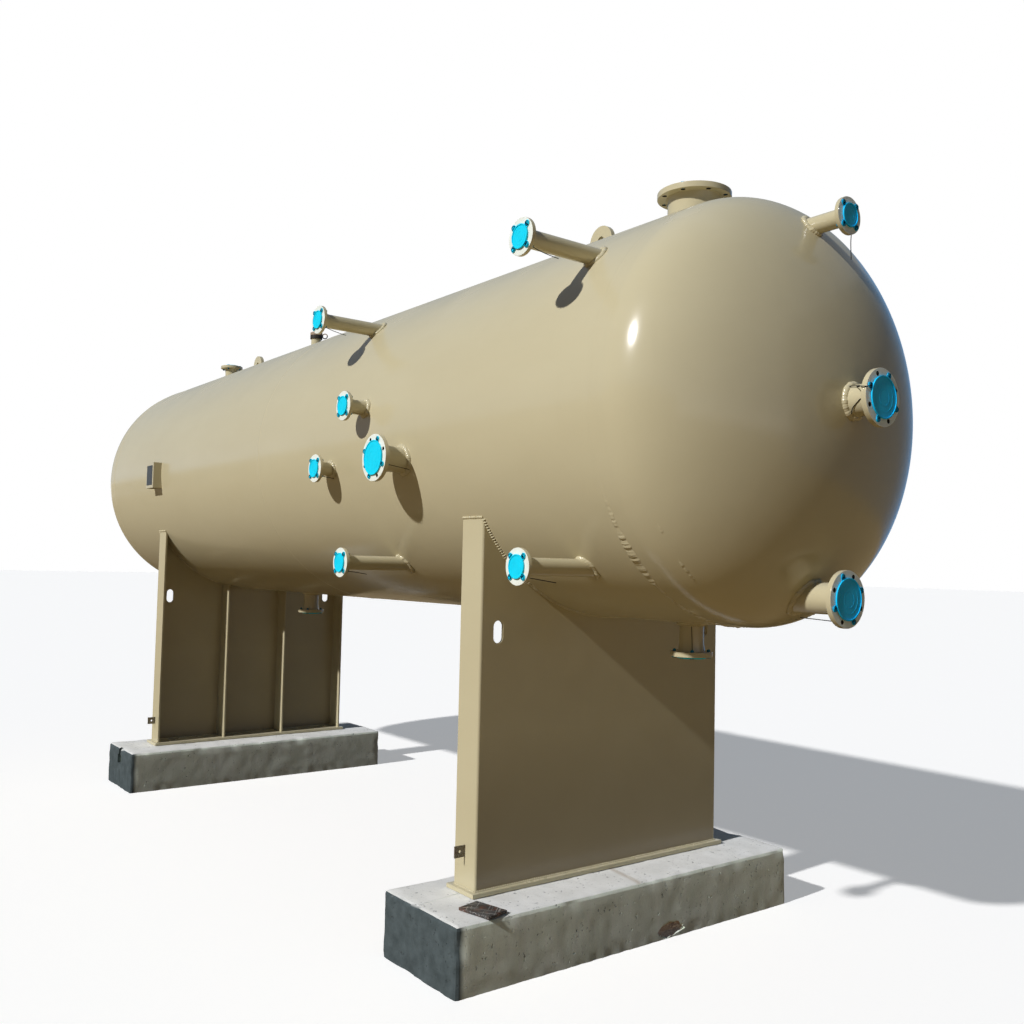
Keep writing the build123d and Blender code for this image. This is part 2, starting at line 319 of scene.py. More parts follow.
def join_pieces(name, parts):
    # Joins like parts into one piece.
    take(*parts)
    if len(parts) > 1:
        bpy.ops.object.join()
    joined = bpy.context.object
    joined.name = name
    return joined


def new_finish(name):
    # A finish, its tree and shader, a place measured in metres on the object itself, and its speckles.
    finish = bpy.data.materials.new(name)
    finish.use_nodes = True
    tree = finish.node_tree
    shader = tree.nodes["Principled BSDF"]
    place = add_node(tree, "TexCoord").outputs["Object"]
    return finish, tree, shader, place, partial(speckle, tree, place)


def speckle(tree, place, size, low, high, stretch=(1, 1, 1), detail=4.0, rough=0.55, turn=0.0):
    # Noise of about the given grain in metres, stretched to 0 below low and 1 above high.
    mapping = add_node(tree, "Mapping", {"Vector": place, "Rotation": (0, 0, turn),
                                         "Scale": tuple(size * s for s in stretch)}, vector_type="TEXTURE")
    grain = add_node(tree, "TexNoise", {"Vector": mapping.outputs[0], "Scale": 1.0, "Detail": detail,
                                        "Roughness": rough})
    return ramp(tree, grain.outputs["Fac"], low, high)


def tint(tree, colour, pattern, amount, other):
    # Brings some of the other colour into a colour, where the pattern is.
    return blend(tree, maths(tree, "MULTIPLY", pattern, amount), colour, other)


def facing_up(tree, low, high):
    # 0 on walls and undersides, 1 on what faces the sky.
    upward = part_of(tree, add_node(tree, "NewGeometry").outputs["Normal"], "Z")
    return ramp(tree, upward, low, high)


def bumps(tree, shader, *layers):
    # Fine relief in the finish: each layer is its pattern, its strength and its depth in metres.
    inputs = {}
    for pattern, strength, depth in layers:
        inputs |= {"Height": pattern, "Strength": strength, "Distance": depth}
        relief = add_node(tree, "Bump", inputs)
        inputs = {"Normal": relief.outputs[0]}
    feed(tree, shader, inputs)
    return relief


def tan_paint(name, tan, shade_tan, gloss, darker_low=0.0):
    # Two-pack gloss over primer: sprayed in passes, a little orange peel, with site dust and a painted
    # sky reflection greying the faces that look up, and, by a share the caller gives, a darker lowest part.
    finish, tree, shader, place, grain = new_finish(name)
    passes = grain(0.55, 0.35, 0.68, stretch=(2.2, 1, 0.8))
    colour = blend(tree, passes, tan, shade_tan)
    runs = grain(0.05, 0.56, 0.80, stretch=(1, 1, 11), detail=6.0)
    colour = tint(tree, colour, runs, 0.04, (0.38, 0.31, 0.18, 1))
    # Faces that look up take a greyer tint: dust, and a painted reflection of the sky.
    dust_and_sky_sheen = maths(tree, "MULTIPLY", facing_up(tree, 0.45, 0.95), grain(0.30, 0.2, 0.85))
    colour = tint(tree, colour, dust_and_sky_sheen, 0.55, (0.57, 0.53, 0.41, 1))
    # The lowest part is darkened, by the share given, from one metre down.
    low_down = ramp(tree, part_of(tree, place, "Z"), 1.0, 0.3)
    colour = tint(tree, colour, low_down, darker_low, (0.22, 0.165, 0.10, 1))
    rough = ramp(tree, grain(0.50, 0.2, 0.85), 0, 1, gloss, gloss + 0.06)
    dusty = maths(tree, "MULTIPLY_ADD", dust_and_sky_sheen, 0.25, rough)
    feed(tree, shader, {"Base Color": colour, "Roughness": dusty})
    peel = grain(0.004, 0.0, 1.0, detail=1.0)
    waves = grain(0.20, 0.0, 1.0, stretch=(1.6, 1, 1), detail=1.0)
    bumps(tree, shader, (peel, 0.05, 0.0006), (waves, 0.16, 0.006))
    return finish


vessel_paint = tan_paint("vessel_paint", (0.561, 0.502, 0.322, 1), (0.534, 0.473, 0.298, 1), 0.15)


def paint_piece(piece, nodes=(), smooth_angle=35):
    finish_piece(piece, vessel_paint, nodes, smooth_angle)


def rolled_course(name, x_low, x_high, node):
    # A cylinder rolled from plate: its joints along X let the reflections run true.
    length = x_high - x_low
    course = start_piece(name, "cylinder", vertices=round_steps, radius=shell_r, depth=length,
                         end_fill_type="NOTHING", location=((x_low + x_high) / 2, 0, axis_z),
                         rotation=(0, pi / 2, 0))
    for step in range(1, course_joints):
        work_on(course)
        cut_across(0, x_low + length * step / course_joints)
    stop_work()
    apply_modifier(course, "SOLIDIFY", thickness=plate, offset=-1)
    paint_piece(course, [node])


rolled_course("near_course_skin", mid_seam_x, near_seam_x, "shell_near_course")
rolled_course("far_course_skin", far_seam_x, mid_seam_x, "shell_far_course")


# The heads: 2:1 dished ends, each pressed from one plate with a short straight flange at its rim,
# which is butt welded to the shell.
def pressed_head(name, tangent_x, seam_x, node):
    outward = 1 if tangent_x > seam_x else -1
    head = start_piece(name, "uv_sphere", segments=round_steps, ring_count=96, radius=shell_r,
                       rotation=(0, pi / 2, 0))
    moved(head, Matrix.Diagonal((head_depth / shell_r, 1, 1, 1)),
          Matrix.Translation((tangent_x, 0, axis_z)))
    work_on(head)
    cut_across(0, tangent_x, outward, clear_inner=True)
    bpy.ops.mesh.select_mode(type="EDGE")
    pick(lambda edge: abs(middle(edge).x - tangent_x) < 1e-5, "edges")
    draw_out(seam_x - tangent_x, 0, 0)
    bpy.ops.mesh.select_all(action="SELECT")
    bpy.ops.mesh.remove_doubles(threshold=0.00005)
    bpy.ops.mesh.normals_make_consistent(inside=False)
    stop_work()
    apply_modifier(head, "SOLIDIFY", thickness=plate, offset=-1)
    paint_piece(head, [node])


pressed_head("near_head_skin", near_tangent_x, near_seam_x, "head_near")
pressed_head("far_head_skin", far_tangent_x, far_seam_x, "head_far")


# The girth seams: a low cap of weld round the vessel at each head and at mid length, painted over.
# The one at the near head is the coarsest, and a faint pressed line runs round the head beyond it.
seam_steps, step_cuts, seam_sides = 256, 6, 8
ripple = 0.013
ground_back, rough_spot = -0.38, -0.69


def head_radius(x):
    # How far from the axis the near head's surface lies at this X.
    return shell_r * sqrt(max(0.0, 1 - (max(0.0, x - near_tangent_x) / head_depth) ** 2))


def girth_seam(name, x, width, height, coarse, seed, crown_share=1.0):
    # crown_share is how much of its height the cap keeps above ground_back, which like rough_spot is
    # the sine of an angle up from level. A coarse seam has a wide rough stretch at rough_spot.
    radius = head_radius(x)
    seam = start_piece(name, "torus", major_segments=seam_steps, minor_segments=seam_sides,
                       major_radius=radius, minor_radius=width / 2, location=(x, 0, axis_z),
                       rotation=(0, pi / 2, 0))
    work_on(seam, "EDGE")
    pick(lambda edge: abs(edge.verts[0].co.x - edge.verts[1].co.x) < 1e-6, "edges")
    bpy.ops.mesh.subdivide(number_cuts=step_cuts)
    stop_work()
    sunk = 0.0015 if crown_share == 0 else 0
    for point in seam.data.vertices:
        angle = atan2(point.co.z - axis_z, point.co.y)
        spread = Vector((x * 3, cos(angle) * 9, sin(angle) * 9 + seed))
        below = min(1.0, max(0.0, (ground_back - sin(angle)) / 0.15))
        uncut = min(1.0, max(0.0, 1.4 - abs(sin(angle) - rough_spot) / 0.09)) if coarse > 1 else 0
        lay = height / (width / 2) * (1 + coarse * below * noise.noise(spread * 8))
        lay *= crown_share + (1 - crown_share) * below
        phase = angle * radius * 2 * pi / ripple + 6 * noise.noise(spread * 5)
        lay *= 1 + uncut * (0.1 + 0.26 * sin(phase))
        if crown_share == 0:
            lay *= min(1.0, max(0.0, 0.2 + 3 * noise.noise(spread * 0.7)))
        out = sqrt(point.co.y ** 2 + (point.co.z - axis_z) ** 2)
        point.co.x = x + (point.co.x - x) * (1 + 1.2 * uncut + 0.5 * coarse * noise.noise(spread * 4))
        reach = head_radius(point.co.x) + (out - radius) * lay - sunk
        point.co.y = cos(angle) * reach
        point.co.z = axis_z + sin(angle) * reach
    paint_piece(seam, smooth_angle=80)


knuckle_line_x = near_tangent_x + 0.117
girth_seam("near_head_seam", near_seam_x, 0.022, 0.0038, 1.1, 1, 0.10)
girth_seam("near_head_line", knuckle_line_x, 0.012, 0.0034, 0.6, 2, 0)
girth_seam("mid_seam", mid_seam_x, 0.018, 0.0012, 0.5, 3)
girth_seam("far_head_seam", far_seam_x, 0.018, 0.0018, 0.7, 4)


# The nozzles: long weld necks, each turned in one piece from raised face, flange, hub and barrel,
# welded through the wall. The flange faces are left in pale primer, the bolt holes' walls are darkened
# as painted shade, and the rest is painted.
# Flange sizes are in metres.
Flange = namedtuple("Flange", "od thickness bolt_circle bolts hole_d face_d hub_d barrel_d")
two_inch = Flange(0.1524, 0.0191, 0.1207, 4, 0.0191, 0.0921, 0.088, 0.075)
three_inch = Flange(0.1905, 0.0239, 0.1524, 4, 0.0191, 0.1270, 0.120, 0.110)
four_inch = Flange(0.2286, 0.0239, 0.1905, 8, 0.0191, 0.1572, 0.140, 0.127)
eight_inch = Flange(0.3429, 0.0286, 0.2985, 8, 0.0222, 0.2699, 0.262, 0.246)
flange_steps = 72
raised_face = 0.0016
hub_length = 0.040
rim_round = 0.0018
through_wall = 0.012
small_root, large_root, root_ripple = 0.014, 0.015, 0.009
NOZZLES = dict(
    side_upper_near=two_inch, side_upper_far=two_inch, side_middle_near=two_inch,
    side_middle_far=two_inch, side_large=four_inch, side_lower_far=two_inch, side_lower_near=two_inch,
    head_upper=two_inch, head_centre=four_inch, head_lower=four_inch, crown_large=eight_inch,
    crown_small=three_inch, bottom_near=three_inch, bottom_far=three_inch)
OUTWARD = {"side": Vector((0, -1, 0)), "head": Vector((1, 0, 0)), "crown": Vector((0, 0, 1)),
           "bottom": Vector((0, 0, -1))}


def flange_place(node, side):
    # The flange face's own frame: Z points out of the vessel and X runs level along the face.
    low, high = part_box(node)
    out = OUTWARD[side]
    level = Vector((0, 1, 0)) if side == "head" else Vector((1, 0, 0))
    face = (low + high) / 2
    for axis in range(3):
        if out[axis]:
            face[axis] = high[axis] if out[axis] > 0 else low[axis]
    turn = Matrix((level, out.cross(level), out)).transposed().to_4x4()
    return Matrix.Translation(face) @ turn


def vessel_depth(place, side, across, up):
    # The vessel's surface as a height on the flange face's own Z, so below 0, at an offset in its plane.
    point = place @ Vector((across, up, 0))
    if side == "side":
        surface = sqrt(shell_r ** 2 - (point.z - axis_z) ** 2)
        return surface + point.y
    if side == "head":
        from_axis = (point.y ** 2 + (point.z - axis_z) ** 2) / shell_r ** 2
        return near_tangent_x + head_depth * sqrt(1 - from_axis) - point.x
    surface = sqrt(shell_r ** 2 - point.y ** 2)
    return surface + axis_z - point.z if side == "crown" else surface - axis_z + point.z


primer, tree, shader, place, grain = new_finish("flange_primer")
patches = grain(0.03, 0.35, 0.7)
pale = blend(tree, patches, (0.86, 0.90, 0.82, 1), (0.78, 0.80, 0.70, 1))
feed(tree, shader, {"Base Color": pale, "Roughness": 0.45})
bumps(tree, shader, (grain(0.003, 0, 1), 0.2, 0.0005))
# The bolt holes' walls are near black: painted shade inside the holes.
hole_painted_shade, tree, shader, place, grain = new_finish("bolt_hole_painted_shade")
feed(tree, shader, {"Base Color": (0.035, 0.030, 0.025, 1), "Roughness": 0.7})


def inset(width):
    bpy.ops.mesh.inset(thickness=width)


def round_edges(radius):
    # Picks the edges that run level round the piece at this distance from its axis.
    def runs_round(edge):
        first, second = edge.verts[0].co, edge.verts[1].co
        level = abs(first.z - second.z) < 1e-5
        return level and all(abs(point.xy.length - radius) < 0.0005 for point in (first, second))
    bpy.ops.mesh.select_mode(type="EDGE")
    pick(runs_round, "edges")


def cut_block(block, cutters, **settings):
    # Takes the cutters out of the block, all at once.
    cutter = join_pieces("cutter", cutters)
    apply_modifier(block, "BOOLEAN", object=cutter, operation="DIFFERENCE", solver="EXACT", **settings)
    bpy.data.objects.remove(cutter)


def weld_neck(name, size, place, side):
    rim_thickness = size.thickness - raised_face
    neck = start_piece(name + "_neck", "cylinder", vertices=flange_steps, radius=size.od / 2,
                       depth=rim_thickness, location=(0, 0, -raised_face - rim_thickness / 2))
    work_on(neck)
    pick_end(1)
    inset((size.od - size.face_d) / 2)
    draw_out(0, 0, raised_face)
    pick_end(-1)
    inset((size.od - size.hub_d) / 2)
    draw_out(0, 0, -hub_length)
    taper = size.barrel_d / size.hub_d
    bpy.ops.transform.resize(value=(taper, taper, 1))
    barrel_r = size.barrel_d / 2
    around = [vessel_depth(place, side, barrel_r * cos(a * pi / 8), barrel_r * sin(a * pi / 8))
              for a in range(16)]
    reach = through_wall - min(around) - size.thickness - hub_length
    if reach > 0.002:
        draw_out(0, 0, -reach)
    round_edges(size.od / 2)
    bpy.ops.mesh.bevel(offset=rim_round, segments=2, affect="EDGES")
    stop_work()
    circle_r, hole_r = size.bolt_circle / 2, size.hole_d / 2
    drills = []
    for hole in range(size.bolts):
        angle = (hole + 0.5) * 2 * pi / size.bolts
        drills.append(start_piece("drill", "cylinder", vertices=20, radius=hole_r, depth=2 * size.thickness,
                                  location=(cos(angle) * circle_r, sin(angle) * circle_r,
                                            -size.thickness / 2)))
    cut_block(neck, drills)
    on_circle = (circle_r - hole_r, circle_r + hole_r)
    coats = []
    for polygon in neck.data.polygons:
        in_hole = abs(polygon.normal.z) < 0.1 and on_circle[0] < polygon.center.xy.length < on_circle[1]
        coats.append(1 if polygon.normal.z > 0.9 else 2 if in_hole else 0)
    paint_piece(moved(neck, place), ["nozzle_" + name])
    neck.data.materials.append(primer)
    neck.data.materials.append(hole_painted_shade)
    for polygon, coat in zip(neck.data.polygons, coats):
        polygon.material_index = coat


def root_weld(name, size, place, side, leg, seed):
    # The fillet of weld round a nozzle's root, laid in ripples and following the curved wall.
    barrel_r = size.barrel_d / 2
    ripples = int(2 * pi * barrel_r / root_ripple)
    weld = start_piece(name, "torus", major_segments=ripples * 4, minor_segments=10,
                       major_radius=barrel_r, minor_radius=leg)
    for point in weld.data.vertices:
        angle = atan2(point.co.y, point.co.x)
        uneven = noise.noise((cos(angle) * 3, sin(angle) * 3, seed))
        lump = 1 + 0.08 * abs(sin(angle * ripples / 2)) + 0.32 * uneven
        on_ring = Vector((cos(angle) * barrel_r, sin(angle) * barrel_r, 0))
        depth = vessel_depth(place, side, on_ring.x * 1.04, on_ring.y * 1.04)
        point.co = on_ring + (point.co - on_ring) * lump + Vector((0, 0, depth))
    paint_piece(moved(weld, place), smooth_angle=70)


for count, (name, size) in enumerate(NOZZLES.items()):
    side = name.split("_")[0]
    place = flange_place("nozzle_" + name, side)
    weld_neck(name, size, place, side)
    leg = small_root if size.od < 0.2 else large_root
    root_weld(name + "_root_weld", size, place, side, leg, count)


# The covers: push-on discs moulded in bright blue polyethylene, with a lip round the edge, two faint
# rings, and four ears whose hollow plugs press into the bolt holes. On 8-hole flanges four stay open.
# The covers on the near head are a deeper blue, a painted shade of the same plastic.
def plastic(name, colour, darker, roughness, faded_above=None):
    # Moulded polyethylene, clouded, and bleached brown by the sun above a height where one is given.
    finish, tree, shader, place, grain = new_finish(name)
    base = blend(tree, grain(0.02, 0.3, 0.75), colour, darker)
    if faded_above:
        faded = ramp(tree, part_of(tree, place, "Z"), faded_above, faded_above + 0.003)
        base = blend(tree, faded, base, (0.34, 0.25, 0.17, 1))
    scuffed = grain(0.012, 0.35, 0.8)
    feed(tree, shader, {"Base Color": base, "Specular IOR Level": 0.25,
                        "Roughness": ramp(tree, scuffed, 0, 1, roughness, roughness + 0.15)})
    bumps(tree, shader, (grain(0.002, 0, 1), 0.12, 0.0004))
    return finish


cover_blue = plastic("cover_blue", (0.0, 0.72, 0.96, 1), (0.0, 0.66, 0.90, 1), 0.5)
# The near head's covers take a deeper blue: painted shade on the same plastic.
painted_shade_blue = plastic("painted_shade_blue", (0.0, 0.58, 1.0, 1), (0.0, 0.53, 0.97, 1), 0.5)
plug_blue = plastic("plug_blue", (0.0, 0.20, 0.34, 1), (0.0, 0.13, 0.24, 1), 0.4)
cover_lip, cover_height, cover_dish, cover_gap = 0.0050, 0.0068, 0.0026, 0.0015
ring_shares, ring_slope, ring_top, ring_height = (0.70, 0.42), 0.0012, 0.0022, 0.0004
ear_width, ear_gauge, ear_overlap = 0.025, 0.0026, 0.004
plug_head_r, plug_head_height, plug_shank_r = 0.0098, 0.0052, 0.0088
plug_wall, plug_bore, plug_tip = 0.0026, 0.0140, 0.006
plug_past, plug_short, cover_round = 0.011, 0.004, 0.0009
FIRST_PLUG = {"side_large": 67.5, "head_centre": 67.5, "head_lower": 22.5, "crown_large": 22.5}


def start_block(name, centre, size):
    return start_piece(name, "cube", size=1, location=centre, scale=size)


def push_cover(name, size, place):
    radius = (size.bolt_circle - size.hole_d) / 2 - cover_gap
    disc = start_piece(name, "cylinder", vertices=flange_steps, radius=radius, depth=cover_height,
                       location=(0, 0, cover_height / 2))
    work_on(disc)
    pick_end(1)
    inset(cover_lip * 0.6)
    inset(cover_lip * 0.4)
    draw_out(0, 0, -cover_dish)
    for share in ring_shares:
        points = bmesh.from_edit_mesh(disc.data).verts
        now_r = max(point.co.xy.length for point in points if point.select)
        inset(now_r - share * radius)
        inset(ring_slope)
        draw_out(0, 0, ring_height)
        inset(ring_top)
        draw_out(0, 0, -ring_height)
    round_edges(radius)
    bpy.ops.mesh.bevel(offset=cover_round, segments=2, affect="EDGES")
    stop_work()
    parts = [disc]
    for ear in range(4):
        angle = radians(FIRST_PLUG.get(name, 45) + 90 * ear)
        reach = size.bolt_circle / 2
        tongue = start_block("tongue", ((radius - ear_overlap + reach) / 2, 0, ear_gauge / 2),
                             (reach - radius + ear_overlap, ear_width, ear_gauge))
        pad = start_piece("pad", "cylinder", vertices=24, radius=ear_width / 2, depth=ear_gauge,
                          location=(reach, 0, ear_gauge / 2))
        parts.append(moved(join_pieces("ear", [tongue, pad]), Matrix.Rotation(angle, 4, "Z")))
    return moved(join_pieces(name, parts), place)


def push_plugs(name, size, place):
    # A hollow plug: its rim on the ear, its shank through the bolt hole, and its tapered tip behind.
    plugs = []
    for ear in range(4):
        angle = radians(FIRST_PLUG.get(name, 45) + 90 * ear)
        centre = Vector((cos(angle), sin(angle), 0)) * size.bolt_circle / 2
        tip = size.thickness + (-plug_short if size is eight_inch else plug_past)
        plug = start_piece("plug", "cylinder", vertices=20, radius=plug_head_r,
                           depth=plug_head_height - ear_gauge,
                           location=(0, 0, (plug_head_height + ear_gauge) / 2))
        work_on(plug)
        pick_end(1)
        inset(plug_wall)
        draw_out(0, 0, -plug_bore)
        pick_end(-1)
        inset(plug_head_r - plug_shank_r)
        draw_out(0, 0, plug_tip - ear_gauge - tip)
        draw_out(0, 0, -plug_tip)
        bpy.ops.transform.resize(value=(0.6, 0.6, 1))
        stop_work()
        plugs.append(moved(plug, Matrix.Translation(centre)))
    return moved(join_pieces(name + "_plugs", plugs), place)


for side in ("side", "head", "crown", "bottom"):
    covers = []
    plugs = []
    for name, size in NOZZLES.items():
        if name.startswith(side):
            place = flange_place("nozzle_" + name, side)
            covers.append(push_cover(name, size, place))
            plugs.append(push_plugs(name, size, place))
    finish_piece(join_pieces(side + "_covers", covers), painted_shade_blue if side == "head" else cover_blue,
                 [side + "_flange_covers"])
    finish_piece(join_pieces(side + "_plugs", plugs), plug_blue)


# The plate work: lugs, saddles and the nameplate bracket are flame-cut plate with the edges
# dressed before painting, so each keeps its CAD outline and gets a small round on every edge.
def dressed_plate(name, nodes, finish, edge_round):
    copies = []
    for node in nodes:
        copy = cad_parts[node].copy()
        copy.data = copy.data.copy()
        for note in list(copy.keys()):
            del copy[note]
        copy.parent = None
        copy.matrix_world = Matrix.Identity(4)
        scene.collection.objects.link(copy)
        copies.append(copy)
    piece = join_pieces(name, copies)
    work_on(piece, "VERT")
    bpy.ops.mesh.select_all(action="SELECT")
    bpy.ops.mesh.remove_doubles(threshold=0.00002)
    bpy.ops.mesh.dissolve_limited(angle_limit=radians(0.5))
    stop_work()
    apply_modifier(piece, "BEVEL", width=edge_round, segments=2, limit_method="ANGLE",
                   angle_limit=radians(40))
    finish_piece(piece, finish, nodes)


web_paint = tan_paint("web_paint", (0.561, 0.500, 0.315, 1), (0.534, 0.470, 0.290, 1), 0.22, darker_low=0.75)
for end in ("near", "far"):
    dressed_plate(end + "_lug", ["lifting_lug_" + end], vessel_paint, 0.0025)
for end in ("near", "far"):
    for part, finish, edge_round in (("web", web_paint, 0.0015), ("end_plates", vessel_paint, 0.0015),
                                     ("ribs", vessel_paint, 0.0015), ("base", vessel_paint, 0.002)):
        dressed_plate(end + "_saddle_" + part, ["saddle_" + part + "_" + end], finish,
                      edge_round)
dressed_plate("plate_bracket", ["nameplate_bracket"], vessel_paint, 0.001)


# The saddles' welds: fillets where the plates meet the shell, each other and the base plate, laid by
# hand in short ripples and painted over with the rest.
ripple_pitch = 0.013


def bent_rod(name, kind, points, radius, swell=None, **settings):
    # A round rod along the points, turned into a mesh; swell is its thickness point by point.
    curve = bpy.data.curves.new(name, "CURVE")
    curve.dimensions = "3D"
    curve.bevel_depth = radius
    curve.bevel_resolution = 2
    curve.use_fill_caps = True
    spline = curve.splines.new(kind)
    spline.points.add(len(points) - 1)
    for index, point in enumerate(points):
        spline.points[index].co = (*point, 1)
        if swell:
            spline.points[index].radius = swell(index, point)
    for setting, value in settings.items():
        setattr(spline, setting, value)
    rod = bpy.data.objects.new(name, curve)
    scene.collection.objects.link(rod)
    take(rod)
    bpy.ops.object.convert(target="MESH")
    return bpy.context.object


def weld_run(points, leg, seed):
    # A bead along the points: each ripple swells and narrows it, and no two are quite alike.
    draw = Random(seed)
    fine = []
    for start, end in zip(points, points[1:]):
        pieces = max(1, round((end - start).length / (ripple_pitch / 3)))
        fine += [start.lerp(end, step / pieces) for step in range(pieces)]
    fine.append(points[-1])

    def swell(index, point):
        lay = (1.0, 1.36, 0.74)[index % 3]
        return lay * (1 + 0.16 * noise.noise(point * 30)) * draw.uniform(0.95, 1.05)
    return bent_rod("bead", "POLY", fine, leg, swell)


def shell_under(x, y):
    # The point of the shell's underside above this X and Y.
    return Vector((x, y, axis_z - sqrt(shell_r ** 2 - y ** 2)))


shell_leg, back_leg, cap_leg, foot_leg, inside_leg = 0.0085, 0.0065, 0.006, 0.005, 0.004
arc_steps, arc_gap = 60, 0.004
for end, outer, inner in (("near", 1, 0), ("far", 0, 1)):
    web, ends, ribs = (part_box("saddle_" + part + "_" + end) for part in ("web", "end_plates", "ribs"))
    outer_x, back_x, inner_x = web[outer].x, web[inner].x, ends[inner].x
    foot_z, half = web[0].z, ends[1].y
    top = shell_under(0, half).z
    beads = []
    for x, leg in ((outer_x, shell_leg), (back_x, back_leg)):
        arc = [shell_under(x, -half + arc_gap + 2 * (half - arc_gap) * step / arc_steps)
               for step in range(arc_steps + 1)]
        beads.append(weld_run(arc, leg, 11))
    # Each run: its leg, its seed, and where it starts and stops.
    runs = []
    for side in (-1, 1):
        wall_y, inside_y = side * half, side * (half - plate)
        runs += [(cap_leg, 12 + side, (inner_x, wall_y, top), (outer_x, wall_y, top)),
                 (foot_leg, 15 + side, (inner_x, wall_y, foot_z), (outer_x, wall_y, foot_z)),
                 (inside_leg, 18 + side, (back_x, inside_y, foot_z), (back_x, inside_y, top))]
        for rib_y in (-side * ribs[0].y, -side * ribs[1].y):
            runs.append((inside_leg, 21, (back_x, rib_y, foot_z), (back_x, rib_y, shell_under(0, rib_y).z)))
    for x in (outer_x, back_x):
        runs.append((foot_leg, 24, (x, -half, foot_z), (x, half, foot_z)))
    beads += [weld_run([Vector(start), Vector(stop)], leg, seed) for leg, seed, start, stop in runs]
    paint_piece(join_pieces(end + "_saddle_welds", beads), smooth_angle=60)


# The lug and vent welds: one fillet all round each foot where it stands on the crown, laid in the
# same ripples as on the saddles.
def crown_point(x, y):
    return Vector((x, y, axis_z + sqrt(shell_r ** 2 - y ** 2)))


lug_leg, vent_leg, vent_steps = 0.009, 0.007, 48
for end in ("near", "far"):
    lug_low, lug_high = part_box("lifting_lug_" + end)
    corners = [(lug_low.x, lug_low.y), (lug_high.x, lug_low.y), (lug_high.x, lug_high.y),
               (lug_low.x, lug_high.y), (lug_low.x, lug_low.y)]
    loop = weld_run([crown_point(x, y) for x, y in corners], lug_leg, 31)
    paint_piece(join_pieces(end + "_lug_weld", [loop]), smooth_angle=60)
vent_low, vent_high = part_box("vent_coupling")
vent_centre = (vent_low + vent_high) / 2
vent_r = (vent_high.x - vent_low.x) / 2
turns = [2 * pi * step / vent_steps for step in range(vent_steps + 1)]
loop = weld_run([crown_point(vent_centre.x + vent_r * cos(turn), vent_centre.y + vent_r * sin(turn))
                 for turn in turns], vent_leg, 33)
paint_piece(join_pieces("vent_weld", [loop]), smooth_angle=60)


# The pull stems: most covers have a thin black stem left long behind one plug, bent as it was pushed
# in. Points are across, up and out from the flange face's centre, in metres.
stem_black = plastic("stem_black", (0.012, 0.012, 0.012, 1), (0.02, 0.02, 0.02, 1), 0.5)
stem_r, stop_r = 0.0018, 0.006
STEMS = {
    "side_upper_near": [((0.043, -0.044, -0.020), (0.044, -0.060, -0.07), (0.044, -0.066, -0.16))],
    "side_upper_far": [((0.043, -0.044, -0.020), (0.045, -0.062, -0.07), (0.044, -0.070, -0.15))],
    "side_middle_far": [((0.043, -0.043, -0.020), (0.047, -0.047, -0.05), (0.050, -0.052, -0.095))],
    "side_large": [((0.088, -0.036, -0.024), (0.090, -0.042, -0.07), (0.085, -0.052, -0.15))],
    "side_lower_far": [((0.043, -0.043, -0.020), (0.047, -0.047, -0.06), (0.052, -0.058, -0.13))],
    "side_lower_near": [((0.043, -0.043, -0.020), (0.047, -0.050, -0.07), (0.054, -0.062, -0.16))],
    "head_upper": [((0.043, -0.043, -0.020), (0.046, -0.080, -0.026), (0.040, -0.115, -0.022),
                    (0.046, -0.165, -0.024))],
    "head_centre": [((-0.088, 0.036, 0.005), (-0.110, 0.028, 0.005), (-0.119, 0.030, -0.012),
                     (-0.112, 0.034, -0.040), (-0.062, 0.046, -0.070), (-0.046, 0.052, -0.10),
                     (-0.045, 0.053, -0.155)),
                    ((-0.067, -0.006, -0.055), (-0.060, -0.030, -0.090), (-0.050, -0.046, -0.105),
                     (-0.040, -0.056, -0.112))],
    "head_lower": [((-0.036, -0.088, -0.024), (-0.040, -0.084, -0.08), (-0.044, -0.080, -0.19))],
    "bottom_near": [((0.054, 0.054, -0.025), (0.056, 0.058, -0.07), (0.054, 0.060, -0.14))],
}
stems = []
for name, runs in STEMS.items():
    place = flange_place("nozzle_" + name, name.split("_")[0])
    for run in runs:
        stems.append(bent_rod("stem", "NURBS", [place @ Vector(point) for point in run], stem_r,
                              use_endpoint_u=True, order_u=3, resolution_u=8))
# The longest one, round the rim of the head's centre flange, has a moulded stop on it.
stop = start_piece("stop", "uv_sphere", segments=12, ring_count=8, radius=stop_r)
stop_place = flange_place("nozzle_head_centre", "head") @ Matrix.Translation((-0.100, 0.036, -0.042))
stems.append(moved(stop, Matrix.Diagonal((0.75, 0.75, 1.3, 1)), stop_place))
finish_piece(join_pieces("plug_stems", stems), stem_black, smooth_angle=60)


# The nameplate: a bare stainless plate held by four rivets, coloured dark blue-grey as a painted
# reflection of the sky. The earthing ears low on the saddles are bare steel too, dark, scored and rusted.
def bare_steel(name, light, dark, roughness, metallic, scored=0.0, rusted=0.0):
    finish, tree, shader, place, grain = new_finish(name)
    colour = blend(tree, grain(0.02, 0.3, 0.7), light, dark)
    rust = grain(0.035, 0.52, 0.66, detail=5.0)
    colour = tint(tree, colour, rust, rusted, (0.22, 0.075, 0.035, 1))
    for turn in (radians(38), radians(-47)):
        score = grain(0.005, 0.60, 0.66, stretch=(22, 1, 1), detail=1.0, turn=turn)
        colour = tint(tree, colour, score, scored, (0.42, 0.40, 0.37, 1))
    scratches = grain(0.004, 0.3, 0.8, stretch=(9, 1, 1))
    feed(tree, shader, {"Base Color": colour, "Metallic": metallic,
                        "Roughness": ramp(tree, scratches, 0, 1, roughness, roughness + 0.2)})
    bumps(tree, shader, (scratches, 0.25, 0.0006))
    return finish


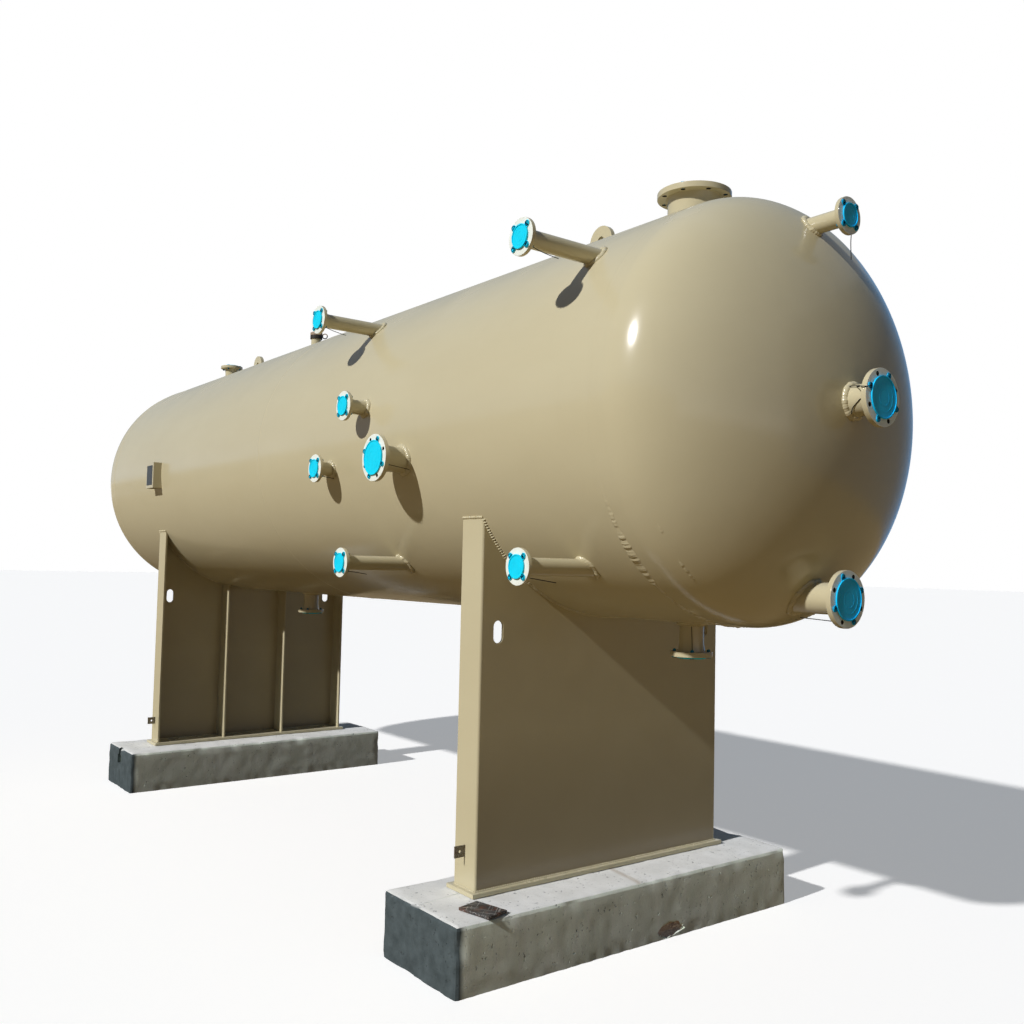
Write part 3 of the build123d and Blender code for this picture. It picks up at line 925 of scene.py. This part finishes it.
ear_steel = bare_steel("ear_steel", (0.10, 0.085, 0.055, 1), (0.20, 0.165, 0.10, 1), 0.5, 0.3,
                       scored=0.6, rusted=0.3)
for end in ("near", "far"):
    dressed_plate(end + "_earthing_ear", ["earthing_ear_" + end], ear_steel, 0.001)
# The nameplate's dark blue-grey is a painted reflection of the sky.
plate_steel = bare_steel("nameplate_steel", (0.10, 0.115, 0.125, 1), (0.05, 0.06, 0.07, 1), 0.35, 0.55)
dressed_plate("bare_nameplate", ["nameplate"], plate_steel, 0.0006)
name_low, name_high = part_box("nameplate")
rivet_r, rivet_inset = 0.0036, 0.010
rivets = []
for x in (name_low.x + rivet_inset, name_high.x - rivet_inset):
    for z in (name_low.z + rivet_inset, name_high.z - rivet_inset):
        rivet = start_piece("rivet", "uv_sphere", segments=16, ring_count=8, radius=rivet_r)
        rivets.append(moved(rivet, Matrix.Diagonal((1, 0.45, 1, 1)),
                            Matrix.Translation((x, name_low.y, z))))
finish_piece(join_pieces("nameplate_rivets", rivets), plate_steel)


# The vent: a short coupling through the crown under a black push-on cap, moulded with a pull ring
# and bleached on top.
cap_low, cap_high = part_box("vent_cap")
cap_black = plastic("cap_black", (0.022, 0.018, 0.014, 1), (0.04, 0.034, 0.026, 1), 0.45,
                    faded_above=cap_high.z - 0.024)
dressed_plate("vent_neck", ["vent_coupling"], vessel_paint, 0.001)
dressed_plate("vent_push_cap", ["vent_cap"], cap_black, 0.003)
# Its pull ring stands out level from the side of the cap.
pull_r, pull_gauge, pull_angle = 0.0185, 0.004, radians(52.6)
pull_out = (cap_high.x - cap_low.x) / 2 + pull_r + pull_gauge / 2
pull_middle = (cap_low + cap_high) / 2 + Vector((cos(pull_angle), sin(pull_angle), 0)) * pull_out
pull_ring = start_piece("cap_pull_ring", "torus", major_segments=32, minor_segments=10,
                        major_radius=pull_r, minor_radius=pull_gauge, location=pull_middle,
                        rotation=(pi / 2, 0, pull_angle))
finish_piece(pull_ring, cap_black, smooth_angle=60)


# The sleepers: cast concrete blocks, weathered green-grey on their sides and bleached on top, with blow
# holes, worn arrises and a ragged foot. A painted shadow in dark slate covers the -Y end of each block.
near_low, near_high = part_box("sleeper_near")
far_low, far_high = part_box("sleeper_far")
joint_x, joint_y, joint_slope = 2.24, 0.008, -0.15


def cast_concrete():
    finish, tree, shader, place, grain = new_finish("concrete")
    along_x, along_y, height = (part_of(tree, place, axis) for axis in "XYZ")
    cloud = grain(0.22, 0.3, 0.72, detail=6.0)
    side = blend(tree, cloud, (0.83, 0.91, 0.77, 1), (0.91, 0.97, 0.86, 1))
    pale_runs = grain(0.012, 0.50, 0.72, stretch=(1, 1, 9), detail=5.0)
    side = tint(tree, side, pale_runs, 0.5, (0.93, 0.95, 0.88, 1))
    runs = grain(0.022, 0.52, 0.76, stretch=(1, 1, 6), detail=5.0)
    side = tint(tree, side, runs, 0.10, (0.20, 0.22, 0.18, 1))
    # A painted shadow: a mottled dark slate over the -Y end of each block.
    clouded = grain(0.05, 0.3, 0.7, detail=6.0)
    slate = blend(tree, clouded, (0.022, 0.036, 0.042, 1), (0.060, 0.082, 0.090, 1))
    end_shadow_share = ramp(tree, along_y, near_low.y + 0.050, near_low.y + 0.024)
    side = tint(tree, side, end_shadow_share, 0.97, slate)
    bleached = blend(tree, grain(0.13, 0.3, 0.75, detail=6.0), (0.74, 0.74, 0.70, 1), (0.90, 0.90, 0.87, 1))
    # A cold joint crosses the near block's top at mid length, stained by rust.
    slant = maths(tree, "MULTIPLY_ADD", along_x, -joint_slope, along_y)
    gap = maths(tree, "ABSOLUTE", maths(tree, "SUBTRACT", slant, joint_y - joint_slope * joint_x))
    on_near = ramp(tree, along_x, 0, 0.01)
    stain = maths(tree, "MULTIPLY", ramp(tree, gap, 0.024, 0.002), on_near)
    bleached = tint(tree, bleached, stain, 0.6, (0.42, 0.34, 0.26, 1))
    near_top = ramp(tree, height, near_high.z - 0.035, near_high.z - 0.028)
    top = maths(tree, "MULTIPLY", near_top, facing_up(tree, 0.55, 0.95))
    colour = blend(tree, top, side, bleached)
    grit = grain(0.004, 0.42, 0.70, detail=3.0)
    colour = tint(tree, colour, grit, 0.10, (0.14, 0.15, 0.13, 1))
    crowded = grain(0.10, 0.42, 0.62)
    pocks = maths(tree, "MULTIPLY", grain(0.017, 0.62, 0.70, detail=3.0), crowded)
    colour = tint(tree, colour, pocks, 0.75, (0.03, 0.035, 0.035, 1))
    feed(tree, shader, {"Base Color": colour, "Roughness": 0.88, "Specular IOR Level": 0.25})
    dents = bumps(tree, shader, (grain(0.003, 0, 1), 0.5, 0.0012), (pocks, 0.8, 0.003))
    dents.invert = True
    return finish


concrete = cast_concrete()
cell = 0.024
arris = 0.020
worn_edge, worn_foot, held_foot = 0.05, 0.03, 0.10


def wear(point, low, high, seed):
    # How far a point of the block has worn back, most on its arrises and at its foot.
    gaps = sorted(min(point[a] - low[a], high[a] - point[a]) for a in range(3))
    near_edge = max(0.0, 1 - gaps[1] / worn_edge)
    grain = noise.noise(point * 22 + Vector((seed, 0, 0)))
    lump = noise.noise(point * 7 + Vector((0, seed, 0)))
    chip = max(0.0, noise.noise(point * 13 + Vector((0, 0, seed))) - 0.12)
    foot = max(0.0, 1 - (point.z - low.z) / worn_foot)
    depth = 0.0016 * (1 + grain) + 0.0016 * (1 + lump)
    held = min(1.0, max(0.2, (point.z - low.z) / held_foot))
    ragged = foot * 0.008 * max(0.0, grain + 0.3)
    return depth + near_edge * (held * (0.003 + 0.022 * chip) + ragged)


def cast_sleeper(name, node, seed):
    low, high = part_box(node)
    block = start_block(name, (low + high) / 2, high - low)
    work_on(block, "EDGE")
    pick(lambda edge: min(v.co.z for v in edge.verts) > high.z - 1e-4 or
         abs(edge.verts[0].co.z - edge.verts[1].co.z) > 0.1, "edges")
    bpy.ops.mesh.bevel(offset=arris, segments=2, affect="EDGES")
    for axis in range(3):
        length = high[axis] - low[axis]
        cuts = round(length / cell)
        for cut in range(1, cuts):
            cut_across(axis, low[axis] + length * cut / cuts)
    stop_work()
    moves = [(point, point.co.copy(), point.normal.copy()) for point in block.data.vertices]
    for point, start, normal in moves:
        inward = Vector((normal.x, normal.y, max(normal.z, 0)))
        worn = start - inward * wear(start, low, high, seed)
        point.co = Vector(max(low[a], min(high[a], worn[a])) for a in range(3))
    return block


def blow_holes(low, high, count, seed):
    # Small air holes that the form left: most on the +X face, some on the -Y end and the -X face.
    draw = Random(seed)
    front_share, end_share, margin = 0.70, 0.18, 0.04
    holes = []
    for _ in range(count):
        size = draw.uniform(0.003, 0.0075)
        z = draw.uniform(low.z + 0.03, high.z - 0.025)
        spot = draw.random()
        if spot < front_share:
            centre = Vector((high.x, draw.uniform(low.y + margin, high.y - margin), z))
        elif spot < front_share + end_share:
            centre = Vector((draw.uniform(low.x + margin, high.x - margin), low.y, z))
        else:
            centre = Vector((low.x, draw.uniform(low.y + margin, high.y - margin), z))
        hole = start_piece("hole", "ico_sphere", subdivisions=1, radius=size)
        stretch = (draw.uniform(0.8, 1.5), draw.uniform(0.8, 1.5), draw.uniform(0.8, 1.8), 1)
        holes.append(moved(hole, Matrix.Diagonal(stretch), Matrix.Translation(centre)))
    return holes


def slit(name, centre, size_x, size_y, depth, turn):
    # A fine straight cut in a block's top, turned a little from the way its sides run.
    blade = start_block(name, (0, 0, 0), (size_x, size_y, 2 * depth))
    return moved(blade, Matrix.Rotation(turn, 4, "Z"), Matrix.Translation(centre))


near_block = cast_sleeper("near_sleeper", "sleeper_near", 3)
cutters = blow_holes(near_low, near_high, 90, 5)
# A hairline runs in along the top from the -Y end, and a round grout plug has shrunk in its hole.
crack_x, crack_length, crack_width, crack_depth = 2.126, 0.27, 0.005, 0.0045
cutters.append(slit("crack", (crack_x, near_low.y + crack_length / 2 - 0.01, near_high.z), crack_width,
                    crack_length, crack_depth, radians(8.5)))
plug_r, plug_gap = 0.033, 0.0035
plug_y, plug_z = -1.030, 0.084
cutters.append(start_piece("plug_ring", "torus", major_segments=28, minor_segments=6, major_radius=plug_r,
                           minor_radius=plug_gap, location=(near_high.x, plug_y, plug_z),
                           rotation=(0, pi / 2, 0)))
joint_length, joint_width, joint_depth, joint_lead = 0.25, 0.004, 0.0035, 0.11
cutters.append(slit("joint", (joint_x + joint_lead, joint_y + joint_slope * joint_lead, near_high.z),
                    joint_length, joint_width, joint_depth, atan2(joint_slope, 1)))
# A piece has broken from the foot of the +X face.
chip_middle, chip_size, chip_skin = Vector((2.457, 0.187, 0.040)), (0.024, 0.084, 0.037), 0.009
chip = start_piece("chip", "ico_sphere", subdivisions=3, radius=1)
for point in chip.data.vertices:
    point.co *= 1 + 0.35 * noise.noise(point.co * 2.2)
cutters.append(moved(chip, Matrix.Diagonal((*chip_size, 1)), Matrix.Translation(chip_middle)))
cut_block(near_block, cutters, use_self=True)

far_block = cast_sleeper("far_sleeper", "sleeper_far", 8)
cutters = blow_holes(far_low, far_high, 50, 6)
# The lifting pocket in its -Y end, with the narrower neck that runs up to the top.
far_mid_x = (far_low.x + far_high.x) / 2
for width, depth, high_z, tall in ((0.042, 0.028, far_high.z + 0.01, 0.064),
                                   (0.090, 0.045, far_high.z - 0.054, 0.068)):
    cutters.append(start_block("pocket", (far_mid_x, far_low.y, high_z - tall / 2),
                               (width, 2 * depth, tall)))
cut_block(far_block, cutters, use_self=True)
finish_piece(near_block, concrete, ["sleeper_near"], smooth_angle=28)
broken, tree, shader, place, grain = new_finish("broken_concrete")
stones = grain(0.008, 0.35, 0.65)
broken_face = blend(tree, stones, (0.50, 0.36, 0.27, 1), (0.85, 0.70, 0.58, 1))
feed(tree, shader, {"Base Color": broken_face, "Roughness": 0.9})
near_block.data.materials.append(broken)
for polygon in near_block.data.polygons:
    from_chip = Vector(polygon.center - chip_middle)
    inside_chip = Vector(from_chip[a] / chip_size[a] for a in range(3)).length < 1.2
    if inside_chip and polygon.center.x < near_high.x - chip_skin:
        polygon.material_index = 1
finish_piece(far_block, concrete, ["sleeper_far"], smooth_angle=28)


# The loose packing plate: a dark steel offcut left over from levelling the saddle, lying on the
# near sleeper, scratched and rusting.
packing_steel = bare_steel("packing_steel", (0.030, 0.034, 0.037, 1), (0.075, 0.062, 0.050, 1), 0.5, 0.3,
                           scored=0.7, rusted=0.6)
dressed_plate("packing_offcut", ["loose_packing_plate"], packing_steel, 0.0012)
